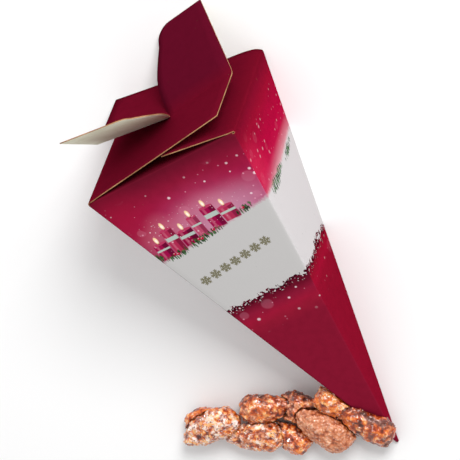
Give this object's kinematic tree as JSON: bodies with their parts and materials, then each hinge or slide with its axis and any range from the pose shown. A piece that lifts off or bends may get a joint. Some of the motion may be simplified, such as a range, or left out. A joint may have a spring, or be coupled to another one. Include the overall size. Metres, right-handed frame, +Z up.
{
  "type": "candied almonds with a printed cone carton",
  "caption": "Square cone carton of printed card, shut by two hooked flaps and lying on its back panel, with a heap of sugar-crusted candied almonds round its tip.",
  "frame": {"origin": "middle of the underside of the bounding box, on the surface that the carton and the almonds lie on", "axes": "+X along the floor from the carton's tip to its lid, +Y towards the heap of almonds, +Z up"},
  "size_m": [0.218, 0.1276, 0.0844],
  "materials": {
    "printed_card": "coated folding card, offset printed deep red with a white band, matt varnish, cream uncoated inside",
    "sugar_crust": "lumpy caramelised sugar crust, grainy and matte with glossy amber patches"
  },
  "bodies": {
    "root": {"carton": "printed_card", "almond_matte": "sugar_crust", "almond_middle_front": "sugar_crust", "almond_middle_back": "sugar_crust", "almond_far_front": "sugar_crust", "almond_far_back": "sugar_crust", "almond_at_tip": "sugar_crust", "almond_glossy": "sugar_crust", "almond_small_front": "sugar_crust", "almond_small_back": "sugar_crust"}
  },
  "joints": []
}
